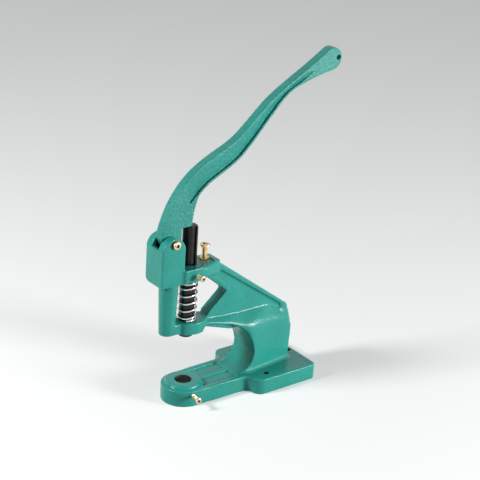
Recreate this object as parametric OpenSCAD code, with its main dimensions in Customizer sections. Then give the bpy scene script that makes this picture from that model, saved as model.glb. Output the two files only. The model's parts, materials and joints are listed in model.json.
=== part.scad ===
// Hand press for setting eyelets: a cast frame, a long cast lever, a keyed
// plunger with its return spring, and the screws that guide, stop and clamp.
// Origin: axis of the die hole at the underside of the base. +Z up, +Y to the
// back, +X to the side that carries the set screws. Millimetres.

/* [Base] */
// Radius of the tongue's round front end
tongue_r = 20.5; // [18:0.5:24]
// Half width of the tongue where it meets the base plate
tongue_root = 21.8; // [20.5:0.1:24]
// Half width of the base plate
plate_half = 36.5; // [34:0.5:42]
// Front edge of the base plate
plate_front = 60; // [56:1:64]
// Rear edge of the base plate
plate_rear = 130; // [128:1:136]
// Thickness of the base
base_t = 15.5; // [12:0.5:18]
// Height of the ring raised round the die hole
boss_h = 3; // [2:0.5:4]
// Outer radius of the ring raised round the die hole
boss_r = 16.4; // [15:0.1:18]
// Radius of the die hole
die_r = 8; // [7:0.25:9]
// Depth of the two panels sunk in the tongue
panel_depth = 2; // [1:0.25:3]
// Half distance between the two side mounting holes
side_hole_x = 26.5; // [24:0.5:30]
// Place of the side mounting holes behind the die
side_hole_y = 77; // [72:0.5:80]
// Place of the rear mounting hole behind the die
rear_hole_y = 124.5; // [123:0.5:125]
// Radius of the mounting holes
mount_r = 2.6; // [2:0.1:3]

/* [Column and arm] */
// Half width of the column where it is widest
column_half = 16.4; // [14:0.1:18]
// Half width of the column at its rear face
column_rear_half = 11.3; // [10:0.1:13]
// Place where the column is widest
column_wide_y = 67; // [62:1:72]
// Rear face of the column
column_rear = 114.5; // [112:0.5:118]
// Half width of the triangular web
web_half = 6; // [5:0.5:7]
// Half width of the rib along the top of the web
rib_half = 8.3; // [7.5:0.1:9]
// Half width of the rim along the upper edge of the window
rim_half = 7.6; // [7:0.1:8]
// Half width of the head and arm
head_half = 13; // [12:0.5:14]
// Underside of the arm
arm_z0 = 122.5; // [121:0.5:124]
// Top of the arm
arm_z1 = 135.5; // [134:0.5:137]
// Half width of the arm at the guide
guide_half = 14.5; // [14:0.1:16]
// Front face of the head
head_front = -38; // [-40:0.5:-37]
// Rear edge of the two ears
ear_rear = -13.2; // [-14:0.1:-13]
// Thickness of the head's front wall
front_wall = 4.5; // [3:0.5:5]
// Top of the front wall between the ears
front_wall_z = 157.6; // [152:0.1:158]
// Height of the centre of the ears' round tops
ear_centre_z = 155.8; // [155:0.1:158]
// Radius of the front post at its foot
post_r = 7.3; // [6:0.1:8]
// Radius of the front post at the head
post_top_r = 9.2; // [8:0.1:10]
// Place of the front post's axis
post_y = -21.2; // [-23:0.1:-20]
// Underside of the lower guide boss
lower_z0 = 69; // [68:0.5:71]
// Top of the lower guide boss
lower_z1 = 80.5; // [79:0.5:82]
// Radius of the lower guide boss
lower_r = 12.9; // [12:0.1:14]

/* [Pivot and lever] */
// Place of the pivot axis in front of the die
pivot_y = -24.5; // [-25:0.1:-24]
// Height of the pivot axis
pivot_z = 163; // [162:0.1:164]
// Radius of the pivot pin
pin_r = 3.25; // [3:0.25:4]
// Half thickness of the lever
lever_half = 4.5; // [4:0.1:5]
// Half width of the fork's slot
slot_half = 4.9; // [4.8:0.1:5.4]
// Width of the rims left round the lever's flutes
flute_rim = 2.3; // [2:0.1:3]
// Depth of the flutes in the lever's sides
flute_depth = 1.6; // [1:0.1:2]
// Radius of the hole in the lever's tip
tip_hole_r = 2.5; // [2:0.1:3]

/* [Plunger and spring] */
// Radius of the plunger
plunger_r = 7; // [6.5:0.25:7.5]
// Lower end of the plunger at rest
plunger_z0 = 64.5; // [63:0.5:65]
// Upper end of the plunger at rest
plunger_z1 = 172.7; // [172:0.1:172.8]
// Radial clearance of the plunger in its guides
guide_fit = 0.05; // [0.02:0.01:0.1]
// Radius of the hole for the upper die's shank
punch_r = 4; // [3:0.25:4.5]
// Depth of the hole for the upper die's shank
punch_depth = 16; // [10:1:20]
// Width of the keyway
key_w = 4.6; // [4.4:0.1:5]
// Depth of the keyway
key_depth = 2; // [1.5:0.25:2.5]
// Diameter of the spring wire
wire_d = 1.7; // [1.5:0.05:1.8]
// Mean radius of the spring's curls
coil_r = 8.8; // [8.7:0.05:9]
// Rise of each closed end curl
closed_rise = 2.5; // [2.3:0.1:3]
// Number of open curls
open_curls = 4.5; // [3:0.5:5]

/* [Fasteners] */
// Radius of the pan heads on the pivot screws
small_head_r = 3.9; // [3.5:0.1:4]
// Radius of the pivot screws' threads
small_r = 2; // [1.8:0.1:2.2]
// Radius of the heads on the two set screws
set_head_r = 2.9; // [2.6:0.1:3.2]
// Radius of the two set screws' threads
set_r = 1.5; // [1.3:0.1:1.7]
// Radius of the stop bolt's head
stop_head_r = 4.8; // [4:0.1:5]
// Radius of the stop bolt's thread
stop_r = 2.5; // [2:0.1:2.75]
// Place of the stop bolt behind the plunger's axis
stop_y = 17; // [16.5:0.25:17.5]
// Underside of the stop bolt's head at rest
stop_head_z = 148.8; // [146:0.2:149]
// Height of the guide screw
guide_z = 128.4; // [127:0.1:131]
// Underside of the guide screw's head
guide_head_x = 21.3; // [20:0.1:22]
// Height of the die clamp screw
clamp_z = 11.5; // [9:0.5:12]
// Turn of the die clamp screw round the die's axis
clamp_turn = -8; // [-12:1:0]
// Underside of the clamp screw's head at rest, from the die's axis
clamp_head_x = 30.5; // [29:0.1:32]

/* [Hidden] */

// Circles are drawn as fine polygons here and are true curves in the model.
ROUND = 64;
SOFT = 32;
// Overlap that lets neighbouring lumps of the casting fuse.
FUSE = 0.5;
// Gap that keeps two fitted pieces from sharing any metal.
GAP = 0.03;
THREAD_FIT = 0.05;

PAINT = [0.13, 0.55, 0.48];
BLACK = [0.08, 0.08, 0.08];
BRIGHT = [0.8, 0.8, 0.82];
YELLOW_ZINC = [0.85, 0.68, 0.35];

boss_top = base_t + boss_h;
plunger_hole_r = plunger_r + guide_fit;

// Top line of the arm, which falls straight from behind the stop bolt.
rib_front = 22;
rib_rear = 112;
rib_fall = 0.736;
rib_front_z = 137.7;
function rib_top(y) = rib_front_z - rib_fall * (y - rib_front);

// Spring seat: the flat top of the lower guide boss.
seat_z = lower_z1;

// Ring and washer over the spring.
washer_t = 1;
ring_t = 1.1;
ring_z = 120.9;
washer_z = ring_z - washer_t - GAP;
groove_r = plunger_r - 0.6;

// Points on a circular arc in the plane, from angle a0 to a1.
function arc(c, r, a0, a1, n = 12) =
    [for (i = [0:n]) c + r * [cos(a0 + (a1 - a0) * i / n), sin(a0 + (a1 - a0) * i / n)]];

// Extrudes an outline drawn as (y, z) across x, from -half to half.
module across(half) {
    rotate([90, 0, 90])
        linear_extrude(height = 2 * half, center = true)
            children();
}

// Cylinder along x from x0 to x1.
module rod_x(x0, x1, y, z, r, fn = ROUND) {
    translate([x0, y, z])
        rotate([0, 90, 0])
            cylinder(h = x1 - x0, r = r, $fn = fn);
}

// ---------------------------------------------------------------- frame

// Plan of the base: round tongue, square plate and the hollow corners between.
corner_front = 9;
corner_rear = 5;
corner_hollow = 7;

module base_plan() {
    circle(r = tongue_r, $fn = ROUND);
    polygon([
        [-tongue_r, 0], [tongue_r, 0],
        [tongue_root, plate_front + FUSE], [-tongue_root, plate_front + FUSE],
    ]);
    polygon(concat(
        arc([plate_half - corner_rear, plate_rear - corner_rear], corner_rear, 0, 90, 6),
        arc([corner_rear - plate_half, plate_rear - corner_rear], corner_rear, 90, 180, 6),
        arc([corner_front - plate_half, plate_front + corner_front], corner_front, 180, 270, 8),
        arc([plate_half - corner_front, plate_front + corner_front], corner_front, 270, 360, 8)
    ));
    for (side = [-1, 1])
        polygon(concat(
            [[side * (tongue_root - 1), plate_front + 1]],
            [for (p = arc([0, 0], corner_hollow, 180, 90, 8))
                [side * (tongue_root - 0.2 + corner_hollow + p[0]), plate_front - corner_hollow + p[1]]]
        ));
}

panel_out = 15.8;
panel_in = 1.7;
panel_rear = 51;
panel_gap = 2.4;

module base() {
    difference() {
        union() {
            linear_extrude(height = base_t) base_plan();
            translate([0, 0, base_t - FUSE])
                cylinder(h = boss_h + FUSE, r1 = boss_r + 0.6, r2 = boss_r, $fn = ROUND);
        }
        difference() {
            for (side = [-1, 1])
                translate([side > 0 ? panel_in : -panel_out, 0, base_t - panel_depth])
                    cube([panel_out - panel_in, panel_rear, panel_depth + 1]);
            cylinder(h = boss_top, r = boss_r + panel_gap, $fn = ROUND);
        }
    }
}

// Throat: a straight underside, an upper arc and a lower arc.
throat_upper = [31.7, 30.8];
throat_upper_r = 38.1;
throat_lower = [50.6, 34.5];
throat_lower_r = 19;
// Angles on the upper arc where the underside leaves it and the lower arc meets it.
throat_start = 76.8;
throat_end = 5.6;

// Half width of the lower arm at the guide boss.
arm_half = 10.6;
// Radius of the hollow corner round the column's foot.
cove_r = 3.4;

// Open space of the throat, under the arm and in front of the column.
module throat() {
    across(column_half + 10)
        polygon(concat(
            [[-40, 86.9]],
            arc(throat_upper, throat_upper_r, throat_start, throat_end, 18),
            arc(throat_lower, throat_lower_r, 0, -84, 12),
            [[51, base_t - 1], [-40, base_t - 1]]
        ));
}

// Plan of the column and lower arm, a wedge that is widest behind the throat.
column_plan = [
    [arm_half, 0], [arm_half, 12], [column_half, column_wide_y], [column_rear_half, column_rear],
    [column_rear_half - 0.4, column_rear + 4],
];
// How far the column's rear face swells out at its top.
rear_swell = 1.9;

// Rounded flanks between the wide column and the thin web, as stations:
// [y, half width, height where the side turns in, radius of the turn, height at the web].
flank_stations = [
    [12, arm_half - 0.1, 75.2, 1.6, 79.2], [34, 12.8, 70.2, 2.2, 76.4], [56, 15.1, 60.6, 6.5, 75.2],
    [column_wide_y, column_half - 0.1, 60.9, 8, 75.3], [90, 13.8, 59.5, 8, 75.2],
    [104, 12.3, 58.6, 6.5, 69.8], [115.3, 10.9, 57.2, 4, 64.4],
];
flank_steps = 5;

// Side of a flank: round turn, then the straight slope to the web.
function flank_side(s) =
    let (c = [s[1] - s[3], s[2]], v = [web_half, s[4]] - c, last = atan2(v[1], v[0]) - acos(s[3] / norm(v)))
    concat(arc(c, s[3], 0, last, flank_steps), [[web_half, s[4]], [web_half - 1, s[4] + 0.5]]);

module flank_slice(s) {
    side = flank_side(s);
    translate([0, s[0], 0])
        rotate([90, 0, 0])
            linear_extrude(height = 0.1)
                polygon(concat(
                    [[s[1] - 1, s[2] - 4]], side,
                    [for (p = reversed(side)) [-p[0], p[1]]], [[1 - s[1], s[2] - 4]]
                ));
}

module flanks() {
    for (i = [0:len(flank_stations) - 2])
        hull() {
            flank_slice(flank_stations[i]);
            flank_slice(flank_stations[i + 1]);
        }
}

// Column and lower arm, which narrows towards the guide boss.
module column() {
    difference() {
        union() {
            intersection() {
                across(column_half)
                    polygon(concat(
                        [[2, base_t - FUSE], [column_rear, base_t - FUSE]],
                        [[column_rear + 0.1, 18], [column_rear + 0.9, 28], [column_rear + 1.6, 40]],
                        arc([column_rear + rear_swell - 6, 54.5], 6, 0, 45, 5),
                        [for (s = reversed(flank_stations)) if (s[0] < 110) [s[0], s[2] - 0.1]],
                        [[2, 77.6]]
                    ));
                linear_extrude(height = 90)
                    polygon(concat(column_plan, [for (p = reversed(column_plan)) [-p[0], p[1]]]));
            }
            flanks();
        }
        throat();
    }
}

// Hollow corner of a given radius, along +y, between a wall and the base.
module cove(length, r) {
    rotate([90, 0, 180])
        linear_extrude(height = length)
            polygon(concat([[FUSE, -FUSE], [-r, -FUSE]], arc([-r, r], r, 270, 360, 6), [[FUSE, r]]));
}

// The same hollow turned round an upright corner, a little smaller.
module corner_cove(r) {
    rotate_extrude($fn = SOFT)
        polygon(concat([[0, -FUSE], [r, -FUSE]], arc([r, r], r, 270, 180, 6), [[0, r]]));
}

foot = [[15.6, 60], [column_half, column_wide_y], [column_rear_half, column_rear]];

module column_coves() {
    for (side = [0, 1])
        mirror([side, 0, 0]) {
            for (i = [0, 1])
                translate([foot[i][0], foot[i][1], base_t])
                    rotate([0, 0, -atan2(foot[i + 1][0] - foot[i][0], foot[i + 1][1] - foot[i][1])])
                        cove(norm(foot[i + 1] - foot[i]), cove_r);
            translate([foot[2][0], foot[2][1], base_t])
                corner_cove(cove_r - 0.3);
        }
    translate([-column_rear_half, column_rear, base_t])
        rotate([0, 0, 90])
            mirror([1, 0, 0])
                rotate([0, 0, 180])
                    cove(2 * column_rear_half, cove_r);
}

// Window behind the spring: lower front, upper rear and upper front corners.
window_low = [20.2, 83];
window_rear = [39.4, 100.7];
window_round = 2.6;
window_top = [13.8, arm_z0];

module web() {
    across(web_half)
        polygon(concat(
            [[rib_front, arm_z1 - FUSE], [rib_front, rib_top(rib_front) - 1]],
            [[rib_rear, rib_top(rib_rear) - 2], [rib_rear, 60], [48, 60], [12, 72], [12, lower_z1 - 1]],
            [[window_low[0], lower_z1 - 1], window_low],
            arc(window_rear - [window_round + 0.4, 0], window_round, -42, 42, 6),
            [window_top, [window_top[0], arm_z0 + 2]]
        ));
}

rib_depth_front = 6.6;
rib_depth_rear = 4.2;
// Round rear end, tangent to the top line.
rib_end_r = 6;
rib_end = [111 - rib_end_r * 0.593, rib_top(111) - rib_end_r * 0.805];

module rib() {
    across(rib_half)
        polygon(concat(
            [[rib_front, rib_top(rib_front)]],
            arc(rib_end, rib_end_r, 53.65, 0, 6),
            [[rib_end[0] + rib_end_r, 58], [rib_end[0] - 2, 60]],
            [[rib_rear - 8, rib_top(rib_rear - 8) - rib_depth_rear]],
            [[rib_front + 8, rib_top(rib_front + 8) - rib_depth_front], [rib_front, arm_z1 - 8]]
        ));
}

// Rim along the upper edge of the window.
rim_w = 4.2;

module window_rim() {
    across(rim_half)
        polygon(concat(
            arc(window_rear - [window_round + 0.4, 0], window_round, 0, 42, 4),
            [[window_top[0], arm_z0], [18, arm_z0 + 4], [24.5, arm_z0 - 1.2]],
            [[window_rear[0] + rim_w - 1.5, window_rear[1] + rim_w + 0.5], [window_rear[0] + 1.8, window_rear[1] + 1.5]]
        ));
}

// Arm: as wide as the head at the guide, then narrowing to the rib.
module arm() {
    intersection() {
        translate([0, 0, arm_z0])
            linear_extrude(height = arm_z1 - arm_z0)
                polygon([
                    [-head_half, head_front], [head_half, head_front], [head_half, -15],
                    [guide_half, -13], [guide_half, 11], [rib_half, 29], [-rib_half, 29],
                    [-guide_half, 11], [-guide_half, -13], [-head_half, -15],
                ]);
        across(guide_half + 1)
            polygon([
                [head_front, arm_z0], window_top, [31, arm_z0 - 13.6],
                [31, arm_z1 - 4], [29, arm_z1], [head_front, arm_z1],
            ]);
    }
}

// Ears and the low wall between them.
module ear_outline() {
    polygon(concat(
        [[head_front, arm_z0], [ear_rear, arm_z0], [ear_rear, ear_centre_z]],
        arc([(head_front + ear_rear) / 2, ear_centre_z], (ear_rear - head_front) / 2, 0, 180, 20)
    ));
}

module ears() {
    for (side = [-1, 1])
        translate([side * (head_half + slot_half) / 2, 0, 0])
            across((head_half - slot_half) / 2)
                ear_outline();
    translate([-head_half, head_front, arm_z0])
        cube([2 * head_half, front_wall, front_wall_z - arm_z0]);
}

// Round lower corner of the head on the side away from the screws.
head_corner_r = 5;

module head_corner() {
    translate([-head_half, -14, arm_z0])
        rotate([90, 0, 0])
            linear_extrude(height = -14 - head_front + 1)
                polygon(concat(
                    [[-1, -1], [head_corner_r, -1]],
                    arc([head_corner_r, head_corner_r], head_corner_r, 270, 180, 8),
                    [[-1, head_corner_r]]
                ));
}

// Front post and the lower guide boss that it carries.
module post_and_boss() {
    post_z0 = lower_z0 + 1.5;
    translate([0, post_y, post_z0])
        cylinder(h = arm_z0 - post_z0 + FUSE, r1 = post_r, r2 = post_top_r, $fn = ROUND);
    translate([-post_r, post_y, post_z0])
        cube([2 * post_r, -post_y, lower_z1 - post_z0]);
    translate([0, 0, lower_z0])
        cylinder(h = lower_z1 - lower_z0, r = lower_r, $fn = ROUND);
    translate([0, 0, lower_z0])
        linear_extrude(height = lower_z1 - lower_z0)
            polygon([
                [-lower_r - 0.2, 1], [lower_r + 0.2, 1], [lower_r + 0.5, 5], [12, 12], [-12, 12],
                [-lower_r - 0.5, 5],
            ]);
    translate([0, 0, lower_z0 + 2])
        linear_extrude(height = lower_z1 - lower_z0 - 2)
            polygon([[-12, 11.9], [12, 11.9], [web_half, 20.2], [-web_half, 20.2]]);
}

module frame_holes() {
    translate([0, 0, -1])
        cylinder(h = boss_top + 2, r = die_r, $fn = ROUND);
    for (p = [[-side_hole_x, side_hole_y], [side_hole_x, side_hole_y], [0, rear_hole_y]])
        translate([p[0], p[1], -1])
            cylinder(h = base_t + 2, r = mount_r, $fn = ROUND);
    translate([0, 0, lower_z0 - 1])
        cylinder(h = arm_z1 - lower_z0 + 2, r = plunger_hole_r, $fn = ROUND);
    rod_x(-head_half - 1, head_half + 1, pivot_y, pivot_z, pin_r + guide_fit);
    translate([0, stop_y, arm_z0 - 30])
        cylinder(h = 60, r = stop_r + THREAD_FIT, $fn = ROUND);
    rod_x(0, guide_half + 2, 0, guide_z, set_r + THREAD_FIT);
    rotate([0, 0, clamp_turn])
        rod_x(0, tongue_r + 2, 0, clamp_z, set_r + THREAD_FIT);
    head_corner();
}

module frame_casting() {
    color(PAINT)
        difference() {
            union() {
                base();
                column();
                column_coves();
                web();
                rib();
                window_rim();
                arm();
                ears();
                post_and_boss();
            }
            frame_holes();
        }
}

// ---------------------------------------------------------------- lever

// Upper edge of the lever, from the knuckle to the tip, as (y, z).
upper_edge = [
    [-34.2, 167.5], [-33.2, 173.5], [-29.9, 183.5], [-25, 194.5], [-18.2, 205.2], [-10, 215],
    [0, 223.4], [10.5, 229.8], [21, 235], [32.6, 240.2], [44.8, 247], [57.5, 257.5],
    [68.3, 267.3], [79, 276.3], [90, 283.6], [101, 290], [112, 296.2], [122.3, 302],
    [131, 307.3], [139.5, 312.4],
];
// Lower edge, from the heel over the plunger to the tip.
lower_edge = [
    [-1.2, 176.5], [-0.4, 183.5], [1.7, 192.4], [5, 200.7], [11.3, 206.6], [18.4, 211.3], [28.4, 216.4],
    [38.9, 221.9], [48.5, 227.9], [55.5, 234.4], [62.6, 241.4], [70, 249.6], [78, 258.5],
    [86, 267.2], [93.4, 274.8], [101, 280.7], [111, 285.3], [122, 288.7], [132.5, 291.4],
    [144, 293.9],
];
edge_steps = 3;

// Catmull-Rom curve through a list of points.
function clamp_at(v, i) = v[max(0, min(len(v) - 1, i))];
function between(a, b, c, d, t) =
    0.5 * (2 * b + (c - a) * t + (2 * a - 5 * b + 4 * c - d) * t * t
        + (3 * b - a - 3 * c + d) * t * t * t);
function smooth(v) =
    [for (i = [0:len(v) - 2], k = [0:edge_steps - 1])
        between(clamp_at(v, i - 1), v[i], v[i + 1], clamp_at(v, i + 2), k / edge_steps)];
// Moves every point of a curve to its left by a distance.
function shifted(v, d) =
    [for (i = [0:len(v) - 1])
        let (t = clamp_at(v, i + 1) - clamp_at(v, i - 1))
        v[i] + d * [-t[1], t[0]] / norm(t)];
function part_of(v, first, last) = [for (i = [first * edge_steps:last * edge_steps]) v[i]];
function reversed(v) = [for (i = [len(v) - 1:-1:0]) v[i]];

upper_curve = smooth(upper_edge);
lower_curve = smooth(lower_edge);

tip_centre = [147, 305];
tip_r = 10.5;
tip_hole = [153.6, 305.8];

// Underside that bears on the plunger, with its rounded heel.
heel_y = -1.2;
heel_z = 173;
heel_round = 1.6;
step_y = -12.2;

module lever_outline() {
    polygon(concat(
        [[step_y, heel_z], [heel_y - heel_round, heel_z]],
        arc([heel_y - heel_round, heel_z + heel_round], heel_round, 270, 360, 5),
        lower_curve,
        arc(tip_centre, tip_r, -80, 118, 16),
        reversed(upper_curve),
        [[-33.4, 164.5], [-29, 157]],
        arc([-25.6, 158.2], 3.6, 195, 270, 4),
        arc([-16, 158.4], 3.8, 270, 360, 4)
    ));
}

// Flute sunk in each side of the shank, pointed at both ends.
flute_start = [-5.5, 194];
flute_end = [127, 297.5];

module flute() {
    polygon(concat(
        [flute_start],
        shifted(part_of(lower_curve, 3, 16), flute_rim),
        [flute_end],
        reversed(shifted(part_of(upper_curve, 5, 16), -flute_rim))
    ));
}

module lever() {
    color(PAINT)
        difference() {
            across(lever_half) lever_outline();
            for (side = [-1, 1])
                translate([side * lever_half, 0, 0])
                    across(flute_depth)
                        flute();
            rod_x(-10, 10, pivot_y, pivot_z, pin_r + guide_fit);
            rod_x(-10, 10, tip_hole[0], tip_hole[1], tip_hole_r);
        }
}

// ---------------------------------------------------------------- screws

// Pan-head screw along +z: head above z = 0, thread below.
module pan_screw(head_r, head_h, thread_r, length) {
    dome_r = (head_r * head_r + head_h * head_h) / (2 * head_h) + 0.6;
    recess_w = head_r * 0.28;
    recess_l = head_r * 1.05;
    difference() {
        union() {
            intersection() {
                cylinder(h = head_h, r = head_r, $fn = ROUND);
                translate([0, 0, head_h - dome_r])
                    sphere(r = dome_r, $fn = ROUND);
            }
            translate([0, 0, -length])
                cylinder(h = length + FUSE, r = thread_r, $fn = ROUND);
        }
        for (turn = [0, 90])
            rotate([0, 0, turn])
                translate([-recess_l / 2, -recess_w / 2, head_h * 0.35])
                    cube([recess_l, recess_w, head_h]);
    }
}

module washer(r_in, r_out, t) {
    difference() {
        cylinder(h = t, r = r_out, $fn = ROUND);
        translate([0, 0, -1])
            cylinder(h = t + 2, r = r_in, $fn = ROUND);
    }
}

small_head_h = 2.5;
set_head_h = 2;
pin_end = head_half - 0.15;
pivot_washer_r = 4.4;
pivot_washer_x = head_half + GAP;
pivot_washer_t = 0.8;
pin_screw_len = 8;

module pivot_pin() {
    color(BLACK)
        difference() {
            rod_x(-pin_end, pin_end, pivot_y, pivot_z, pin_r);
            for (side = [-1, 1])
                rod_x(side > 0 ? pin_end - 10 : -pin_end - 1, side > 0 ? pin_end + 1 : 10 - pin_end,
                    pivot_y, pivot_z, small_r + THREAD_FIT);
        }
}

module at_pin_end(x, side) {
    translate([side * x, pivot_y, pivot_z])
        rotate([0, side * 90, 0])
            children();
}

module pivot_washer(side) {
    color(BLACK)
        at_pin_end(pivot_washer_x, side)
            washer(small_r + 0.2, pivot_washer_r, pivot_washer_t);
}

module pivot_screw(side) {
    color(YELLOW_ZINC)
        at_pin_end(pivot_washer_x + pivot_washer_t + GAP, side)
            rotate([0, 0, 20])
                pan_screw(small_head_r, small_head_h, small_r, pin_screw_len);
}

module pivot_washer_near() { pivot_washer(1); }
module pivot_washer_far() { pivot_washer(-1); }
module pivot_screw_near() { pivot_screw(1); }
module pivot_screw_far() { pivot_screw(-1); }

stop_len = 24;
stop_head_h = 1.9;
nut_h = 2.2;
nut_across_flats = 8;

module stop_bolt() {
    color(YELLOW_ZINC)
        translate([0, stop_y, stop_head_z])
            rotate([0, 0, 30])
                pan_screw(stop_head_r, stop_head_h, stop_r, stop_len);
}

module stop_lock_nut() {
    corner_r = nut_across_flats / sqrt(3);
    color(YELLOW_ZINC)
        translate([0, stop_y, arm_z1 + GAP])
            rotate([0, 0, -9])
                difference() {
                    cylinder(h = nut_h, r = corner_r, $fn = 6);
                    translate([0, 0, -1])
                        cylinder(h = nut_h + 2, r = stop_r + THREAD_FIT, $fn = ROUND);
                }
}

key_floor = plunger_r - key_depth;

module guide_screw() {
    color(YELLOW_ZINC)
        translate([guide_head_x, 0, guide_z])
            rotate([0, 90, 0])
                pan_screw(set_head_r, set_head_h, set_r, guide_head_x - key_floor - 0.4);
}

module die_clamp_screw() {
    color(YELLOW_ZINC)
        rotate([0, 0, clamp_turn])
            translate([clamp_head_x, 0, clamp_z])
                rotate([0, 90, 0])
                    rotate([0, 0, 25])
                        pan_screw(set_head_r, set_head_h, set_r, clamp_head_x - die_r - 1);
}

// ---------------------------------------------------------------- plunger

grub_z = 67;
key_z0 = guide_z - 6;
plunger_bevel = 0.8;
plunger_round = 2.4;

module plunger() {
    color(BLACK)
        difference() {
            rotate_extrude($fn = ROUND)
                polygon([
                    [0, plunger_z0], [plunger_r - plunger_bevel, plunger_z0],
                    [plunger_r, plunger_z0 + plunger_bevel],
                    [plunger_r, ring_z], [groove_r, ring_z], [groove_r, ring_z + ring_t + 0.1],
                    [plunger_r, ring_z + ring_t + 0.1], [plunger_r, plunger_z1 - plunger_round],
                    [plunger_r - 0.3 * plunger_round, plunger_z1 - 0.3 * plunger_round],
                    [plunger_r - plunger_round, plunger_z1], [0, plunger_z1],
                ]);
            translate([0, 0, plunger_z0 - 1])
                cylinder(h = punch_depth + 1, r = punch_r, $fn = ROUND);
            translate([key_floor, -key_w / 2, key_z0])
                cube([key_depth + 1, key_w, plunger_z1 - key_z0 + 1]);
            rod_x(-plunger_r - 1, 0, 0, grub_z, small_r - 0.5 + THREAD_FIT);
        }
}

module punch_grub_screw() {
    outer = plunger_r - 0.2;
    color(BLACK)
        difference() {
            rod_x(-outer, -punch_r - 0.2, 0, grub_z, small_r - 0.5);
            rod_x(-outer - 1, 1.2 - outer, 0, grub_z, 0.8, 6);
        }
}

// Snap ring with its gap turned away from the keyway.
module retaining_ring() {
    ring_out = 8.6;
    color(BLACK)
        translate([0, 0, ring_z + GAP])
            difference() {
                washer(groove_r + 0.05, ring_out, ring_t);
                translate([-ring_out - 1, -2, -1])
                    cube([ring_out, 4, ring_t + 2]);
            }
}

module spring_washer() {
    color(BRIGHT)
        translate([0, 0, washer_z])
            washer(plunger_r + 0.2, 9.6, washer_t);
}

// Spring: one wire, closed for a curl at each end and open between.
ring_sides = 6;
rings_per_curl = 8;
wire_r = wire_d / 2;
spring_z0 = seat_z + GAP + wire_r;
spring_z1 = washer_z - GAP - wire_r;
curls = open_curls + 2;
open_pitch = (spring_z1 - spring_z0 - 2 * closed_rise) / open_curls;
spring_rings = curls * rings_per_curl;
start_angle = 200;

function spring_rise(t) =
    t < 1 ? closed_rise * t
    : t < 1 + open_curls ? closed_rise + open_pitch * (t - 1)
    : closed_rise + open_pitch * open_curls + closed_rise * (t - 1 - open_curls);
function spring_centre(i) =
    let (t = i / rings_per_curl, a = start_angle + 360 * t)
    [coil_r * cos(a), coil_r * sin(a), spring_z0 + spring_rise(t)];
// The wire is wound level enough for its rings to stand upright in z.
function spring_ring(i) =
    let (c = spring_centre(i), a = start_angle + 360 * i / rings_per_curl)
    [for (k = [0:ring_sides - 1])
        let (b = 360 * (k + 0.5) / ring_sides)
        c + wire_r * [cos(b) * cos(a), cos(b) * sin(a), sin(b) * 0.98]];

// Least gap between two neighbouring curls, over all rings.
spring_gap = min([for (i = [0:spring_rings - rings_per_curl])
    spring_centre(i + rings_per_curl)[2] - spring_centre(i)[2] - 2 * wire_r]);
echo(least_gap_between_curls = spring_gap);

module return_spring() {
    points = [for (i = [0:spring_rings]) each spring_ring(i)];
    last = spring_rings * ring_sides;
    faces = concat(
        [for (k = [1:ring_sides - 2]) [0, k + 1, k]],
        [for (i = [0:spring_rings - 1], k = [0:ring_sides - 1])
            let (a = i * ring_sides, n = (k + 1) % ring_sides)
            each [[a + k, a + n, a + ring_sides + n], [a + k, a + ring_sides + n, a + ring_sides + k]]],
        [for (k = [1:ring_sides - 2]) [last, last + k, last + k + 1]]
    );
    color(BRIGHT) polyhedron(points = points, faces = faces);
}

frame_casting();
lever();
pivot_pin();
pivot_screw_near();
pivot_screw_far();
pivot_washer_near();
pivot_washer_far();
plunger();
punch_grub_screw();
retaining_ring();
spring_washer();
return_spring();
stop_bolt();
stop_lock_nut();
guide_screw();
die_clamp_screw();
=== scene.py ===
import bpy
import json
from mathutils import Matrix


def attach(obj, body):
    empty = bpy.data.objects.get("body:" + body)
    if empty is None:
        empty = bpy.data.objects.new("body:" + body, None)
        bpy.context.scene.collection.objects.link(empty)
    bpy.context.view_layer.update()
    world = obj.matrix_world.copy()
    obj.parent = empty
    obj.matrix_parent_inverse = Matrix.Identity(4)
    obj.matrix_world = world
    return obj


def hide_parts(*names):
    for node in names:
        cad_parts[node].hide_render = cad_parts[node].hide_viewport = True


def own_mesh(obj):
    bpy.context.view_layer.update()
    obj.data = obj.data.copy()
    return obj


bl_info = {
    "name": "Eyelet Hand Press",
    "version": (1, 0, 0),
    "blender": (4, 5, 0),
    "location": "3D View > Sidebar > Hand Press",
    "description": "Dresses a hand press's frame: enamelled castings, turned steel, plated screws",
    "category": "Add Mesh",
}

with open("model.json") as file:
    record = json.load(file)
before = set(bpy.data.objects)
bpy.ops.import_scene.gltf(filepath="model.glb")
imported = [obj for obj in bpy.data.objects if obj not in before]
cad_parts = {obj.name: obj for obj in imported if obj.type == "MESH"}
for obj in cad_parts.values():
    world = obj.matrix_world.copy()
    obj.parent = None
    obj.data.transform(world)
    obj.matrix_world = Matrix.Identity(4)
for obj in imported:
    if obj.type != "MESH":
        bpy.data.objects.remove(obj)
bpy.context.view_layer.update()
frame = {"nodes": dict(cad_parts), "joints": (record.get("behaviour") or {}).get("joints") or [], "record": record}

import json
import math

import bmesh
import bpy
from bpy.props import FloatProperty, FloatVectorProperty, IntProperty, PointerProperty
from mathutils import Matrix, Vector
from mathutils.kdtree import KDTree

MM = 0.001
X, Z = Vector((1, 0, 0)), Vector((0, 0, 1))


# ---------------------------------------------------------------- sizes


def mm(metres):
    """A length from the frame's record, in millimetres"""
    return round(metres / MM, 6)


JOINTS = {joint["name"]: joint for joint in frame["joints"]}
MOUNTS = {mount["name"]: mount for mount in frame["record"]["mounts"]}

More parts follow.
